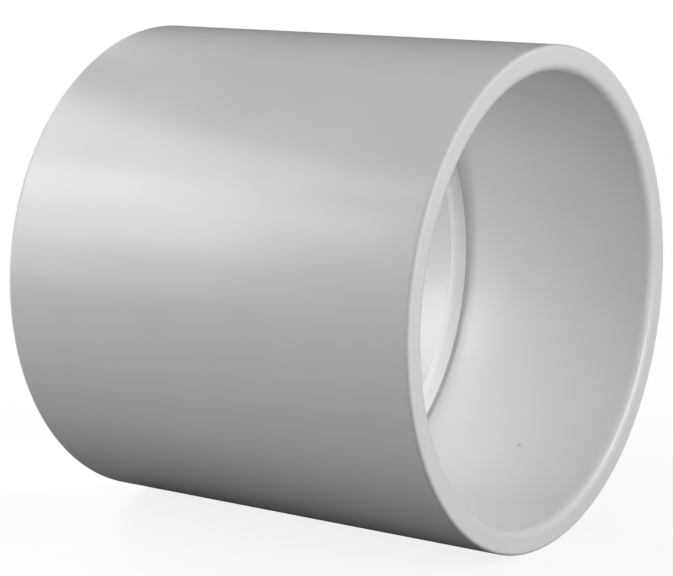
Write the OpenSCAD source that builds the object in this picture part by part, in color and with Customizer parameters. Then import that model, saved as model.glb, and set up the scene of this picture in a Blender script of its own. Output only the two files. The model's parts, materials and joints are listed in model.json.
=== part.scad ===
// Rigid sleeve coupling: a plain sleeve with a conduit socket at each end and a stop ring at mid length.
// Millimetres. The axis lies along X, +Z is up, and the origin is the middle of the part.

/* [Conduit] */
// Outside diameter of the conduit that each socket takes
conduit_d = 60.3; // [20:0.1:120]
// Radial gap between the conduit and the socket wall
socket_clearance = 0.3; // [0.1:0.05:0.45]

/* [Sleeve] */
// Thickness of the wall around each socket
wall = 3.55; // [2.4:0.05:9]
// Depth of each socket, from the end face to the stop ring
socket_depth = 31.4; // [12:0.1:90]
// Radius on the outside edge of each end
edge_radius = 0.5; // [0.2:0.1:3]
// Radius of the lead-in lip inside each mouth
lip_radius = 1.2; // [0.2:0.1:3]

/* [Stop ring] */
// Width of the stop ring along the axis, at its foot
ring_width = 2.2; // [1.6:0.1:10]
// Height of the stop ring above the socket wall
ring_height = 1.9; // [1:0.1:6]
// Run along the axis of each sloping side of the stop ring
slope_run = 0.8; // [0.2:0.05:0.95]

/* [Groove] */
// Width of the relief beside the stop ring, which is on its +X side only
relief_width = 0.8; // [0.2:0.05:2]
// Depth of the relief below the socket wall
relief_depth = 0.2; // [0.1:0.05:0.8]
// Depth of the seat below the relief, where the groove grips both sides of the stop ring
seat_depth = 0.6; // [0.3:0.05:0.8]
// Radial gap between the stop ring and the floor of its seat
seat_clearance = 0.1; // [0.02:0.02:0.2]

/* [Hidden] */

// Largest share of a thickness that the radius or slope on one of its edges may take
edge_share = 0.45;
// Number of sides that stand for a full turn
turn_sides = 180;
// Number of sides that stand for a rounded edge's circle
edge_sides = 64;

sleeve_colour = "#b4b5b6";
ring_colour = "#c2c3c4";

half_length = socket_depth + ring_width / 2;
socket_r = conduit_d / 2 + socket_clearance;
outer_r = socket_r + wall;
edge_r = min(edge_radius, wall * edge_share);
lip_r = min(lip_radius, wall * edge_share);

relief_r = socket_r + relief_depth;
seat_r = relief_r + seat_depth;
ring_outer_r = seat_r - seat_clearance;
ring_inner_r = socket_r - ring_height;
foot_half = ring_width / 2;
crest_half = foot_half - min(slope_run, ring_width * edge_share);

// Turns a half section about the X axis: its x is the radius, and its y is the place along the axis
module turned() {
    rotate([0, 90, 0])
        rotate_extrude($fn = turn_sides)
            children();
}

// Half section of a plain tube that is centred on the origin
module tube_section(inner_r, tube_outer_r, width) {
    translate([inner_r, -width / 2])
        square([tube_outer_r - inner_r, width]);
}

// What a radius takes off a corner at the origin, where the solid lies towards +x and +y
module corner_waste(radius) {
    difference() {
        square(radius);
        translate([radius, radius])
            circle(radius, $fn = edge_sides);
    }
}

// Waste at the inner corner of a section's +y end
module inner_corner_waste(corner_r, corner_y, radius) {
    translate([corner_r, corner_y])
        rotate(-90)
            corner_waste(radius);
}

// Waste at the outer corner of a section's +y end
module outer_corner_waste(corner_r, corner_y, radius) {
    translate([corner_r, corner_y])
        rotate(180)
            corner_waste(radius);
}

// Repeats a shape at both ends of a section
module both_ends() {
    children();
    mirror([0, 1])
        children();
}

module sleeve_section() {
    difference() {
        tube_section(socket_r, outer_r, 2 * half_length);
        translate([0, relief_width / 2])
            tube_section(socket_r, relief_r, ring_width + relief_width);
        tube_section(socket_r, seat_r, ring_width);
        both_ends() {
            outer_corner_waste(outer_r, half_length, edge_r);
            inner_corner_waste(socket_r, half_length, lip_r);
        }
    }
}

module stop_ring_section() {
    polygon([
        [ring_outer_r, -foot_half],
        [ring_outer_r, foot_half],
        [socket_r, foot_half],
        [ring_inner_r, crest_half],
        [ring_inner_r, -crest_half],
        [socket_r, -foot_half]
    ]);
}

module sleeve() {
    color(sleeve_colour)
        turned()
            sleeve_section();
}

module stop_ring() {
    color(ring_colour)
        turned()
            stop_ring_section();
}

sleeve();
stop_ring();
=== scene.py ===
"""Looks of the rigid sleeve coupling: a moulded PVC sleeve with a stop ring at mid length, on a floor."""

import json
import logging
import math
from dataclasses import dataclass
from enum import Enum

import bpy
from mathutils import Euler, Matrix, Vector


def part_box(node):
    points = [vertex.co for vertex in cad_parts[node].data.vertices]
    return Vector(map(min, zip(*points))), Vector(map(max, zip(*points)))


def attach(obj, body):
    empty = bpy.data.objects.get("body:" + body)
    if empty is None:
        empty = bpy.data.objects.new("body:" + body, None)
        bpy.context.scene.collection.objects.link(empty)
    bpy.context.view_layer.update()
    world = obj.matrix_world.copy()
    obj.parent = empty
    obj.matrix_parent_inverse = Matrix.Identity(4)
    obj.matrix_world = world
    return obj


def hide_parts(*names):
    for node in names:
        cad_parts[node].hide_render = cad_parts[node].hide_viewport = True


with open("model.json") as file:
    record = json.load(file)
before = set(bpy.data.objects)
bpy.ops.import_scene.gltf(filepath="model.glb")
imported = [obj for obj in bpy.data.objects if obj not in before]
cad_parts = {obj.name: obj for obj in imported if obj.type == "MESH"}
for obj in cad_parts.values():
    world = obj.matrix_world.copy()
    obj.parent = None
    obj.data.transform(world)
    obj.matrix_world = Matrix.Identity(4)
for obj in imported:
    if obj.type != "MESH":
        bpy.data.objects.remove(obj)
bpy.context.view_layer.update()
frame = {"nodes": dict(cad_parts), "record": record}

log = logging.getLogger("sleeve_coupling")

MM = 0.001
BODY = "root"

# The sRGB curve: a straight stretch up to its knee and a power above it
SRGB_FULL = 255
SRGB_KNEE = 0.04045
SRGB_SLOPE = 12.92
SRGB_OFFSET = 0.055
SRGB_POWER = 2.4

# Range that a noise texture's values mostly stay in
NOISE_LOW = 0.3
NOISE_HIGH = 0.7


class Piece(Enum):
    """Names of the finished pieces."""

    SLEEVE = "sleeve_shell"
    STOP = "stop_band"


class CadNode(Enum):
    """Names of the solids that the pieces stand for."""

    SLEEVE = "sleeve"
    STOP = "stop_ring"


class Slot(Enum):
    """Material slots of the record."""

    SLEEVE = "sleeve_pvc"
    STOP = "ring_pvc"


class Mark(Enum):
    """Attributes that the meshes carry for their finish."""

    WORN_AND_PAINTED_EDGE = "worn_and_painted_edge"


def linear(hex_colour: str) -> tuple[float, float, float, float]:
    """Turns an sRGB hex colour into the linear colour that a shader takes.

    Args:
        hex_colour: Six hex digits after a hash sign.

    Returns:
        Red, green, blue and an alpha of one, in linear light.
    """
    channels = []
    for start in (1, 3, 5):
        share = int(hex_colour[start:start + 2], 16) / SRGB_FULL
        if share <= SRGB_KNEE:
            channels.append(share / SRGB_SLOPE)
        else:
            channels.append(((share + SRGB_OFFSET) / (1 + SRGB_OFFSET)) ** SRGB_POWER)
    return (*channels, 1.0)


def per_metre(size_mm: float) -> float:
    """Scale of a texture whose features are to measure size_mm across."""
    return 1.0 / (size_mm * MM)


def away(azimuth: float, elevation: float) -> Vector:
    """Unit vector from the object towards a direction.

    Args:
        azimuth: Degrees about +Z, where 0 is towards -Y and 90 towards +X.
        elevation: Degrees above the horizon.

    Returns:
        The unit vector.
    """
    turn = math.radians(azimuth)
    rise = math.radians(elevation)
    return Vector((math.sin(turn) * math.cos(rise), -math.cos(turn) * math.cos(rise), math.sin(rise)))


def add(
    tree: bpy.types.NodeTree, kind: str, inputs: dict | None = None, **settings: object
) -> bpy.types.Node:
    """Adds a node, with its settings, its values and its links.

    Args:
        tree: Tree that gets the node.
        kind: Blender's name for the kind of node.
        inputs: A value, or the output socket to link, for each input by name or number.
        settings: Properties of the node itself.

    Returns:
        The new node.
    """
    node = tree.nodes.new(kind)
    for name, value in settings.items():
        setattr(node, name, value)
    for name, value in (inputs or {}).items():
        if isinstance(value, bpy.types.NodeSocket):
            tree.links.new(value, node.inputs[name])
        else:
            node.inputs[name].default_value = value
    return node


@dataclass(frozen=True)
class Pattern:
    """One irregular pattern in the skin of the plastic.

    Attributes:
        size_mm: Size of its features across the axis.
        length_mm: Size of its features along the axis.
        height_mm: Height of its relief, or zero where it has none.
        detail: Number of finer steps of the same pattern that lie on top of it.
    """

    size_mm: float
    length_mm: float
    height_mm: float = 0.0
    detail: float = 2.0

    def draw(self, tree: bpy.types.NodeTree, place: bpy.types.NodeSocket) -> bpy.types.NodeSocket:
        """Adds the pattern to a material.

        Args:
            tree: Nodes of the material.
            place: Coordinates that the pattern follows.

        Returns:
            The pattern's value, which is mostly between NOISE_LOW and NOISE_HIGH.
        """
        stretch = (self.size_mm / self.length_mm, 1.0, 1.0)
        drawn = add(tree, "ShaderNodeMapping", {"Vector": place, "Scale": stretch})
        noise = add(tree, "ShaderNodeTexNoise", {
            "Vector": drawn.outputs["Vector"], "Scale": per_metre(self.size_mm), "Detail": self.detail})
        return noise.outputs["Fac"]


@dataclass(frozen=True)
class Pinhole:
    """A pinhole in a socket wall, where a gas bubble opened in the mould.

    Attributes:
        centre: Its place on the wall.
        across_mm: Its diameter.
        depth_mm: Its depth.
        shade: Grey that darkens the pit towards its middle: painted shade in its hollow.
    """

    centre: tuple[float, float, float]
    across_mm: float = 0.85
    depth_mm: float = 0.12
    shade: str = "#a8a8a8"

    def draw(self, tree: bpy.types.NodeTree, place: bpy.types.NodeSocket) -> bpy.types.NodeSocket:
        """Adds the pinhole to a material.

        Args:
            tree: Nodes of the material.
            place: Coordinates that its centre is given in.

        Returns:
            One at its middle, down to zero at its rim and outside it.
        """
        offset = add(tree, "ShaderNodeVectorMath", {0: place, 1: self.centre}, operation="DISTANCE")
        inside = add(tree, "ShaderNodeMapRange", {
            "Value": offset.outputs["Value"], "From Min": 0.0, "From Max": self.across_mm * MM / 2,
            "To Min": 1.0, "To Max": 0.0}, interpolation_type="SMOOTHSTEP")
        return inside.outputs["Result"]


@dataclass(frozen=True)
class MouldedPvc:
    """Rigid grey PVC as it comes from a polished mould.

    The mould leaves a smooth satin skin: a broad soft highlight that breaks up a little, because the skin
    is slightly wavy, with faint draw marks along the axis and a fine grain that only shows close up.

    Attributes:
        name: Name of the material.
        shade: Darker of the two greys that the plastic clouds between.
        tint: Lighter of the two greys.
        satin: Roughness where the skin is smoothest.
        dull: Roughness where the skin is dullest.
        painted_edge_light: Grey painted on the tightest rounded edges: painted shade where darker, a
            painted highlight where lighter.
        rubbed: Roughness of those edges.
        ior: Index of refraction of rigid PVC.
        clouds: Slight differences in the grey, left by the flow of the melt.
        waves: Slow waves in the skin, left by uneven shrinkage.
        streaks: Draw marks, left as the part slid off its core.
        grain: Fine grain, drawn coarser than it is so that it shows.
        streak_share: Share of the draw marks in the roughness, where the rest follows the waves.
        pinhole: A pinhole in the piece, if it has one.
    """

    name: str
    shade: str
    tint: str
    satin: float
    dull: float
    painted_edge_light: str
    rubbed: float = 0.6
    ior: float = 1.53
    clouds: Pattern = Pattern(size_mm=11.0, length_mm=11.0, detail=3.0)
    waves: Pattern = Pattern(size_mm=12.0, length_mm=14.0, height_mm=0.06, detail=1.0)
    streaks: Pattern = Pattern(size_mm=1.1, length_mm=30.0, height_mm=0.004)
    grain: Pattern = Pattern(size_mm=0.45, length_mm=0.45, height_mm=0.004)
    streak_share: float = 0.4
    pinhole: Pinhole | None = None

    def material(self) -> bpy.types.Material:
        """Builds the material.

        Returns:
            A material that reads Object coordinates and the edge mark for rubbing and painted edge light.
        """
        made = bpy.data.materials.new(self.name)
        made.use_nodes = True
        tree = made.node_tree
        tree.nodes.clear()
        place = add(tree, "ShaderNodeTexCoord").outputs["Object"]
        wear_and_edge_paint = add(tree, "ShaderNodeAttribute", attribute_name=Mark.WORN_AND_PAINTED_EDGE.value).outputs["Fac"]
        clouds = self.clouds.draw(tree, place)
        waves = self.waves.draw(tree, place)
        streaks = self.streaks.draw(tree, place)
        grain = self.grain.draw(tree, place)

        clouded = add(tree, "ShaderNodeMix", {
            "Factor": clouds, "A": linear(self.shade), "B": linear(self.tint)}, data_type="RGBA")
        # Painted light on the rounded edges: a darker grey there is painted shade, a lighter one a painted
        # highlight
        colour = add(tree, "ShaderNodeMix", {
            "Factor": wear_and_edge_paint, "A": clouded.outputs["Result"], "B": linear(self.painted_edge_light)}, data_type="RGBA")
        gloss = add(tree, "ShaderNodeMix", {
            "Factor": self.streak_share, "A": waves, "B": streaks}, data_type="FLOAT")
        moulded = add(tree, "ShaderNodeMapRange", {
            "Value": gloss.outputs["Result"], "From Min": NOISE_LOW, "From Max": NOISE_HIGH,
            "To Min": self.satin, "To Max": self.dull})
        roughness = add(tree, "ShaderNodeMix", {
            "Factor": wear_and_edge_paint, "A": moulded.outputs["Result"], "B": self.rubbed}, data_type="FLOAT")

        reliefs = [
            (waves, self.waves.height_mm),
            (streaks, self.streaks.height_mm),
            (grain, self.grain.height_mm),
        ]
        if self.pinhole:
            inside = self.pinhole.draw(tree, place)
            # Painted shade: the pinhole is darkened as well as dented
            colour = add(tree, "ShaderNodeMix", {
                "Factor": inside, "A": colour.outputs["Result"], "B": linear(self.pinhole.shade)},
                data_type="RGBA")
            reliefs.append((inside, -self.pinhole.depth_mm))
        normal = None
        for relief, height_mm in reliefs:
            inputs = {"Height": relief, "Strength": 1.0, "Distance": abs(height_mm) * MM}
            if normal is not None:
                inputs["Normal"] = normal
            normal = add(tree, "ShaderNodeBump", inputs, invert=height_mm < 0).outputs["Normal"]

        skin = add(tree, "ShaderNodeBsdfPrincipled", {
            "Base Color": colour.outputs["Result"], "Roughness": roughness.outputs["Result"],
            "IOR": self.ior, "Normal": normal})
        add(tree, "ShaderNodeOutputMaterial", {"Surface": skin.outputs["BSDF"]})
        return made


@dataclass(frozen=True)
class Corner:
    """One corner of a half section.

    Attributes:
        along: Place along the axis.
        radius: Distance from the axis.
        rounding: Radius that rounds the corner, or zero for a sharp one.
    """

    along: float
    radius: float
    rounding: float = 0.0


class TurningLathe:
    """Geometry Nodes tree that rounds a half section's corners and turns it about the X axis.

    Attributes:
        TURN_STEPS: Number of sides that stand for a full turn.
        CORNER_STEPS: Number of points that stand for a rounded corner.
        CREASE: Angle between two faces from which the edge between them shades as a sharp one.
        SUPPORT: Distance past a rounding's end of the point that keeps the flat beside it shading flat.
        TIGHT: Rounding up to which an edge gets the full edge mark, for rubbing and for painted edge light.
    """

    TURN_STEPS = 288
    CORNER_STEPS = 10
    CREASE = math.radians(25)
    SUPPORT = 0.2 * MM
    TIGHT = 0.5 * MM

    def __init__(self) -> None:
        """Builds the tree that every turned piece shares."""
        self.tree = bpy.data.node_groups.new("turned_section", "GeometryNodeTree")
        self.inputs: dict[str, str] = {}
        self._add_interface()
        self._add_nodes()

    def _add_interface(self) -> None:
        kinds = {
            "Section": "NodeSocketGeometry",
            "Pitch Radius": "NodeSocketFloat",
            "Turn Steps": "NodeSocketInt",
            "Corner Steps": "NodeSocketInt",
            "Crease": "NodeSocketFloat",
            "Tight Rounding": "NodeSocketFloat",
            "Finish": "NodeSocketMaterial",
        }
        for name, kind in kinds.items():
            socket = self.tree.interface.new_socket(name, in_out="INPUT", socket_type=kind)
            self.inputs[name] = socket.identifier
        self.tree.interface.new_socket("Turned", in_out="OUTPUT", socket_type="NodeSocketGeometry")

    def _add_nodes(self) -> None:
        """Adds the nodes: mark and round the corners, turn the section, crease it and set its finish."""
        tree = self.tree
        given = add(tree, "NodeGroupInput").outputs
        rounding = add(tree, "GeometryNodeInputRadius").outputs["Radius"]
        # Rubbing and painted edge light: full at a tight rounding, less at a broad one, none at a sharp
        # corner
        wear_and_edge_paint = add(tree, "ShaderNodeMath", {
            0: given["Tight Rounding"], 1: rounding}, operation="DIVIDE", use_clamp=True)
        marked = add(tree, "GeometryNodeStoreNamedAttribute", {
            "Geometry": given["Section"], "Name": Mark.WORN_AND_PAINTED_EDGE.value, "Value": wear_and_edge_paint.outputs["Value"]},
            data_type="FLOAT", domain="POINT")
        rounded = add(tree, "GeometryNodeFilletCurve", {
            "Curve": marked.outputs["Geometry"], "Radius": rounding, "Count": given["Corner Steps"],
            "Limit Radius": True}, mode="POLY")
        ring = add(tree, "GeometryNodeCurvePrimitiveCircle", {
            "Resolution": given["Turn Steps"], "Radius": given["Pitch Radius"]})
        turned = add(tree, "GeometryNodeCurveToMesh", {
            "Curve": ring.outputs["Curve"], "Profile Curve": rounded.outputs["Curve"]})
        laid = add(tree, "GeometryNodeTransform", {
            "Geometry": turned.outputs["Mesh"], "Rotation": Euler((0.0, -math.pi / 2, 0.0))})
        smooth = add(tree, "GeometryNodeSetShadeSmooth", {
            "Geometry": laid.outputs["Geometry"], "Shade Smooth": True}, domain="FACE")
        angle = add(tree, "GeometryNodeInputMeshEdgeAngle").outputs["Unsigned Angle"]
        is_crease = add(tree, "FunctionNodeCompare", {
            "A": angle, "B": given["Crease"]}, operation="GREATER_THAN")
        creased = add(tree, "GeometryNodeSetShadeSmooth", {
            "Geometry": smooth.outputs["Geometry"], "Selection": is_crease.outputs["Result"],
            "Shade Smooth": False}, domain="EDGE")
        plain = add(tree, "GeometryNodeRealizeInstances", {"Geometry": creased.outputs["Geometry"]})
        dressed = add(tree, "GeometryNodeSetMaterial", {
            "Geometry": plain.outputs["Geometry"], "Material": given["Finish"]})
        add(tree, "NodeGroupOutput", {"Turned": dressed.outputs["Geometry"]})

    def _support(self, corner: Corner, other: Corner) -> list[Corner]:
        """Finds the point just past the end of a rounding, towards the next corner.

        Args:
            corner: The corner that may be rounded.
            other: The corner next to it, on either side.

        Returns:
            The point, or nothing where the corner is sharp or there is no room.
        """
        centre = Vector((corner.along, corner.radius))
        run = Vector((other.along, other.radius)) - centre
        room = run.length - other.rounding - corner.rounding
        if not corner.rounding or room <= 2 * self.SUPPORT:
            return []
        point = centre + run.normalized() * (corner.rounding + self.SUPPORT)
        return [Corner(point.x, point.y)]

    def _supported(self, section: list[Corner]) -> list[Corner]:
        """Adds a point just past each end of a rounding, so that the flats beside it shade as flats.

        Args:
            section: Corners of the half section, in order.

        Returns:
            The corners, with the added points between them.
        """
        points = []
        for before, corner, after in zip(section[-1:] + section[:-1], section, section[1:] + section[:1]):
            points += [*self._support(corner, before), corner, *self._support(corner, after)]
        return points

    def turn(self, name: str, section: list[Corner], finish: bpy.types.Material) -> bpy.types.Object:
        """Turns a half section into a finished mesh.

        Args:
            name: Name of the piece.
            section: Corners of the half section, counterclockwise in radius and place along the axis.
            finish: Material of the whole piece.

        Returns:
            A mesh object at the origin.
        """
        points = self._supported(section)
        pitch = sum(point.radius for point in points) / len(points)
        curve = bpy.data.curves.new(name + "_section", "CURVE")
        curve.dimensions = "3D"
        spline = curve.splines.new("POLY")
        spline.use_cyclic_u = True
        spline.points.add(len(points) - 1)
        for made, point in zip(spline.points, points):
            made.co = (point.radius - pitch, point.along, 0.0, 1.0)
            made.radius = point.rounding
        source = bpy.data.objects.new(name + "_section", curve)
        bpy.context.scene.collection.objects.link(source)

        lathe = source.modifiers.new("turned", "NODES")
        lathe.node_group = self.tree
        lathe[self.inputs["Pitch Radius"]] = pitch
        lathe[self.inputs["Turn Steps"]] = self.TURN_STEPS
        lathe[self.inputs["Corner Steps"]] = self.CORNER_STEPS
        lathe[self.inputs["Crease"]] = self.CREASE
        lathe[self.inputs["Tight Rounding"]] = self.TIGHT
        lathe[self.inputs["Finish"]] = finish

        evaluated = source.evaluated_get(bpy.context.evaluated_depsgraph_get())
        mesh = bpy.data.meshes.new_from_object(evaluated)
        mesh.name = name
        bpy.data.objects.remove(source)
        bpy.data.curves.remove(curve)
        piece = bpy.data.objects.new(name, mesh)
        bpy.context.scene.collection.objects.link(piece)
        return piece


def socket_radius() -> float:
    """Radius of the sockets, as the record's first mount gives it."""
    return frame["record"]["mounts"][0]["dims"]["r_mm"] * MM


@dataclass
class StopBand:
    """The ring at mid length that each conduit end butts against, with sloping sides and a narrow crest.

    Attributes:
        foot_half: Half of its width along the axis, up to the socket wall.
        crest_half: Half of the width of its crest.
        outer_r: Radius of its outside, in the seat.
        foot_r: Radius of its foot, level with the socket wall.
        inner_r: Radius of the passage through it.
        crest_edge_r: Rounding of the edges of its crest.
        foot_edge_r: Rounding of the edges of its foot.
    """

    foot_half: float
    crest_half: float
    outer_r: float
    foot_r: float
    inner_r: float
    crest_edge_r: float = 0.28 * MM
    foot_edge_r: float = 0.1 * MM

    # How far a point of the solid's crest may lie from the passage's radius
    SLACK = 0.01 * MM

    @classmethod
    def from_frame(cls) -> "StopBand":
        """Takes the sizes from the solid that the band stands for and from the socket mount.

        Returns:
            The stop ring at its real size.
        """
        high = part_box(CadNode.STOP.value)[1]
        vertices = frame["nodes"][CadNode.STOP.value].data.vertices
        points = [(vertex.co.x, math.hypot(vertex.co.y, vertex.co.z)) for vertex in vertices]
        inner_r = min(radius for _, radius in points)
        return cls(
            foot_half=high.x,
            crest_half=max(along for along, radius in points if radius < inner_r + cls.SLACK),
            outer_r=high.z,
            foot_r=socket_radius(),
            inner_r=inner_r,
        )

    def section(self) -> list[Corner]:
        """Lists the corners of the half section.

        Returns:
            The corners, counterclockwise in radius and place along the axis.
        """
        return [
            Corner(-self.foot_half, self.outer_r),
            Corner(self.foot_half, self.outer_r),
            Corner(self.foot_half, self.foot_r, self.foot_edge_r),
            Corner(self.crest_half, self.inner_r, self.crest_edge_r),
            Corner(-self.crest_half, self.inner_r, self.crest_edge_r),
            Corner(-self.foot_half, self.foot_r, self.foot_edge_r),
        ]


@dataclass
class SleeveShell:
    """The sleeve: a tube with a socket at each end and the stop ring's groove at mid length.

    Attributes:
        half_length: Half of its length.
        outer_r: Radius of its outside.
        socket_r: Radius of its sockets.
        seat_half_width: Half of the width of the stop ring's seat.
        relief_width: Width of the relief beside the stop ring, on its +X side.
        relief_depth: Depth of the relief below the socket wall.
        seat_depth: Depth of the seat below the relief.
        edge_r: Rounding of the outside edges.
        lip_r: Rounding of the lead-in lips.
        groove_edge_r: Rounding of the groove's rims.
        pinhole_along: Place along the axis of the pinhole in the near socket.
        pinhole_angle: Its place round the axis, in degrees from straight up towards +Y.
    """

    half_length: float
    outer_r: float
    socket_r: float
    seat_half_width: float
    relief_width: float = 0.8 * MM
    relief_depth: float = 0.2 * MM
    seat_depth: float = 0.6 * MM
    edge_r: float = 0.5 * MM
    lip_r: float = 1.2 * MM
    groove_edge_r: float = 0.1 * MM
    pinhole_along: float = 18.6 * MM
    pinhole_angle: float = 145.6

    @classmethod
    def from_frame(cls, band: StopBand) -> "SleeveShell":
        """Takes the sizes from the solid, the socket mount and the band.

        Args:
            band: The stop ring that sits in the groove.

        Returns:
            The sleeve at its real size.
        """
        low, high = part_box(CadNode.SLEEVE.value)
        return cls(
            half_length=(high.x - low.x) / 2,
            outer_r=high.z,
            socket_r=socket_radius(),
            seat_half_width=band.foot_half,
        )

    def pinhole(self) -> Pinhole:
        """The pinhole, on the near socket's wall."""
        turn = math.radians(self.pinhole_angle)
        return Pinhole((self.pinhole_along, self.socket_r * math.sin(turn), self.socket_r * math.cos(turn)))

    def section(self) -> list[Corner]:
        """Lists the corners of the half section.

        Returns:
            The corners, counterclockwise in radius and place along the axis.
        """
        relief_end = self.seat_half_width + self.relief_width
        relief_r = self.socket_r + self.relief_depth
        seat_r = relief_r + self.seat_depth
        outside = [
            Corner(-self.half_length, self.outer_r, self.edge_r),
            Corner(self.half_length, self.outer_r, self.edge_r),
        ]
        near_socket = [
            Corner(self.half_length, self.socket_r, self.lip_r),
            Corner(relief_end, self.socket_r, self.groove_edge_r),
            Corner(relief_end, relief_r),
            Corner(self.seat_half_width, relief_r),
            Corner(self.seat_half_width, seat_r),
        ]
        far_socket = [
            Corner(-self.seat_half_width, seat_r),
            Corner(-self.seat_half_width, self.socket_r, self.groove_edge_r),
            Corner(-self.half_length, self.socket_r, self.lip_r),
        ]
        return outside + near_socket + far_socket


@dataclass(frozen=True)
class SoftBox:
    """A soft rectangular studio lamp that faces the object.

    Attributes:
        name: Name of the lamp.
        azimuth: Direction it stands in, in degrees.
        elevation: Its height above the horizon, in degrees.
        width: Its width.
        height: Its height.
        radiance: Brightness of its face, where one is as bright as white paper.
        distance: Its distance from the object's middle.
    """

    name: str
    azimuth: float
    elevation: float
    width: float
    height: float
    radiance: float
    distance: float = 0.5

    def place(self) -> None:
        """Adds the lamp to the scene."""
        data = bpy.data.lights.new(self.name, "AREA")
        data.shape = "RECTANGLE"
        data.size = self.width
        data.size_y = self.height
        data.energy = self.radiance * math.pi * self.width * self.height
        lamp = bpy.data.objects.new(self.name, data)
        back = away(self.azimuth, self.elevation)
        lamp.location = back * self.distance
        lamp.rotation_euler = (-back).to_track_quat("-Z", "Y").to_euler()
        lamp.visible_camera = False
        bpy.context.scene.collection.objects.link(lamp)


@dataclass(frozen=True)
class Studio:
    """Pale floor, white surround and soft lamps.

    Attributes:
        floor_z: Height of the floor.
        floor_size: Width of the floor.
        white: Colour of the floor and of the surround, as the camera sees them.
        floor_colour: Colour of the floor as it lights the object.
        room_colour: Colour of the dim room around the lamps, as it lights the object.
        near_white: Share of the seen floor that is plain white near the object. The rest shows its shadow.
        near: Distance from the object's middle up to which that holds.
        far: Distance from which the seen floor is all plain white.
        lamps: The lamps.
    """

    floor_z: float
    floor_size: float = 6.0
    white: str = "#ffffff"
    floor_colour: str = "#5a5a5a"
    room_colour: str = "#080808"
    near_white: float = 0.85
    near: float = 0.06
    far: float = 0.22
    lamps: tuple[SoftBox, ...] = (
        SoftBox("key_top", azimuth=291.0, elevation=36.0, width=0.4, height=0.234, radiance=3.7),
        SoftBox("key_front", azimuth=316.0, elevation=25.0, width=0.16, height=0.2, radiance=3.59),
        SoftBox("key_core", azimuth=322.5, elevation=19.5, width=0.07, height=0.18, radiance=2.77),
        SoftBox("key_low", azimuth=317.0, elevation=5.0, width=0.165, height=0.155, radiance=2.12),
        SoftBox("side_low", azimuth=302.0, elevation=6.0, width=0.09, height=0.17, radiance=16.5),
        SoftBox("far_end", azimuth=244.0, elevation=21.0, width=0.19, height=0.13, radiance=18.4),
        SoftBox("mouth_front", azimuth=39.0, elevation=2.0, width=0.09, height=0.1, radiance=15.8),
        SoftBox("mouth_low", azimuth=88.0, elevation=12.0, width=0.1, height=0.09, radiance=38.5),
        SoftBox("mouth_high", azimuth=103.0, elevation=31.0, width=0.18, height=0.12, radiance=15.2),
    )

    def floor_material(self) -> bpy.types.Material:
        """White paper that shows the object's shadow, and throws little light back at its underside.

        Returns:
            A material that is white to the camera and dim to the object.
        """
        made = bpy.data.materials.new("white_paper_floor")
        made.use_nodes = True
        tree = made.node_tree
        tree.nodes.clear()
        place = add(tree, "ShaderNodeTexCoord").outputs["Object"]
        reach = add(tree, "ShaderNodeVectorMath", {0: place}, operation="LENGTH")
        share = add(tree, "ShaderNodeMapRange", {
            "Value": reach.outputs["Value"], "From Min": self.near, "From Max": self.far,
            "To Min": self.near_white, "To Max": 1.0}, interpolation_type="SMOOTHSTEP")
        seen = add(tree, "ShaderNodeLightPath").outputs["Is Camera Ray"]
        glow = add(tree, "ShaderNodeEmission", {"Color": linear(self.white), "Strength": 1.0})
        paper = add(tree, "ShaderNodeBsdfDiffuse", {"Color": linear(self.white)})
        shown = add(tree, "ShaderNodeMixShader", {
            "Fac": share.outputs["Result"], 1: paper.outputs["BSDF"], 2: glow.outputs["Emission"]})
        dim = add(tree, "ShaderNodeBsdfDiffuse", {"Color": linear(self.floor_colour)})
        both = add(tree, "ShaderNodeMixShader", {
            "Fac": seen, 1: dim.outputs["BSDF"], 2: shown.outputs["Shader"]})
        add(tree, "ShaderNodeOutputMaterial", {"Surface": both.outputs["Shader"]})
        return made

    def lay_floor(self) -> None:
        """Adds the floor just under the object."""
        half = self.floor_size / 2
        mesh = bpy.data.meshes.new("floor")
        corners = [(-half, -half, self.floor_z), (half, -half, self.floor_z),
                   (half, half, self.floor_z), (-half, half, self.floor_z)]
        mesh.from_pydata(corners, [], [(0, 1, 2, 3)])
        mesh.materials.append(self.floor_material())
        floor = bpy.data.objects.new("floor", mesh)
        bpy.context.scene.collection.objects.link(floor)

    def light_room(self) -> None:
        """Surrounds the scene with white as the camera sees it, and with a dim room as the object does."""
        world = bpy.data.worlds.new("studio_room")
        world.use_nodes = True
        tree = world.node_tree
        tree.nodes.clear()
        # White to camera rays alone: nothing here is metal or glass, and the underside of the plastic
        # reflects a dim room
        seen = add(tree, "ShaderNodeLightPath").outputs["Is Camera Ray"]
        white = add(tree, "ShaderNodeBackground", {"Color": linear(self.white), "Strength": 1.0})
        room = add(tree, "ShaderNodeBackground", {"Color": linear(self.room_colour), "Strength": 1.0})
        both = add(tree, "ShaderNodeMixShader", {
            "Fac": seen, 1: room.outputs["Background"], 2: white.outputs["Background"]})
        add(tree, "ShaderNodeOutputWorld", {"Surface": both.outputs["Shader"]})
        bpy.context.scene.world = world

    def build(self) -> None:
        """Lays the floor, lights the room and sets up the lamps."""
        self.lay_floor()
        self.light_room()
        for lamp in self.lamps:
            lamp.place()


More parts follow.
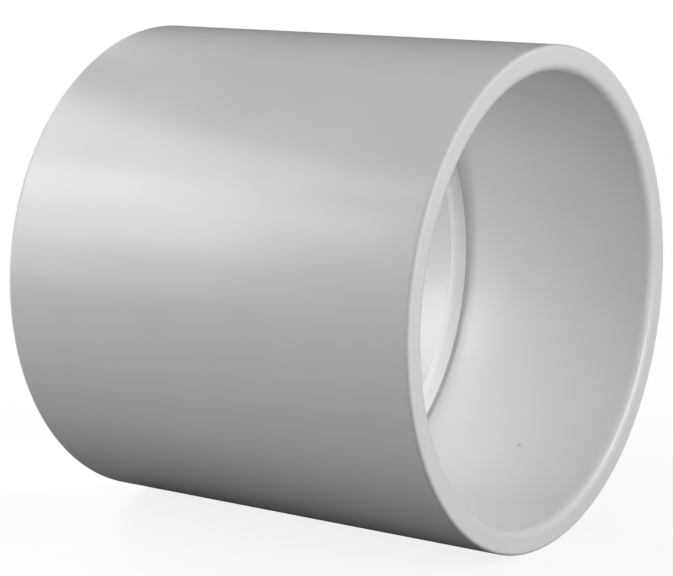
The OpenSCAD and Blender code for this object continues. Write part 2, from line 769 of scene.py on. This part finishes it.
@dataclass(frozen=True)
class PhotoCamera:
    """Camera at the photograph's viewing angle, with no roll and no shift.

    Attributes:
        azimuth: Direction it stands in, in degrees.
        elevation: Its height above the horizon, in degrees.
        distance: Its distance from the object's middle, along its line of sight.
        off_left: How far left of the object's middle the line of sight passes.
        off_below: How far below the object's middle the line of sight passes.
        lens: Focal length, in millimetres.
        sensor: Width of the image on the sensor, in millimetres.
    """

    azimuth: float = 34.67
    elevation: float = 10.32
    distance: float = 323.3 * MM
    off_left: float = 1.276 * MM
    off_below: float = 1.482 * MM
    lens: float = 123.09
    sensor: float = 36.0

    def place(self) -> None:
        """Adds the camera and makes it the scene's own."""
        data = bpy.data.cameras.new("photo_camera")
        data.sensor_width = self.sensor
        data.lens = self.lens
        camera = bpy.data.objects.new("photo_camera", data)
        back = away(self.azimuth, self.elevation)
        right = away(self.azimuth + 90.0, 0.0)
        up = back.cross(right)
        camera.location = back * self.distance - right * self.off_left - up * self.off_below
        camera.rotation_euler = Matrix((right, up, back)).transposed().to_euler()
        bpy.context.scene.collection.objects.link(camera)
        bpy.context.scene.camera = camera


def settle(piece: bpy.types.Object, node: CadNode) -> None:
    """Makes a finished piece ride with the part and stand for its solid.

    Args:
        piece: The finished piece.
        node: The solid that it stands for.
    """
    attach(piece, BODY)
    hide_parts(node.value)
    log.info("%s: %d faces, stands for %s", piece.name, len(piece.data.polygons), node.value)


def main() -> None:
    """Builds the pieces, the studio and the camera."""
    logging.basicConfig(level=logging.INFO, format="%(name)s: %(message)s")
    bpy.context.scene.view_settings.view_transform = "Standard"
    lathe = TurningLathe()
    band = StopBand.from_frame()
    sleeve = SleeveShell.from_frame(band)
    # Its rounded edges get a grey a little darker than the plastic: painted shade that dims their
    # highlights
    sleeve_finish = MouldedPvc(
        "moulded_grey_pvc", shade="#d0d0d0", tint="#d8d8d8", satin=0.2, dull=0.27, painted_edge_light="#cfcfcf",
        pinhole=sleeve.pinhole())
    # Its rounded edges get a lighter grey: a painted highlight along the crest and the foot
    band_finish = MouldedPvc(
        "moulded_light_grey_pvc", shade="#d0d0d0", tint="#d8d8d8", satin=0.4, dull=0.5, painted_edge_light="#e0e0e0")
    shell = lathe.turn(Piece.SLEEVE.value, sleeve.section(), sleeve_finish.material())
    settle(shell, CadNode.SLEEVE)
    ring = lathe.turn(Piece.STOP.value, band.section(), band_finish.material())
    settle(ring, CadNode.STOP)
    Studio(floor_z=-sleeve.outer_r).build()
    PhotoCamera().place()


if __name__ == "__main__":
    main()
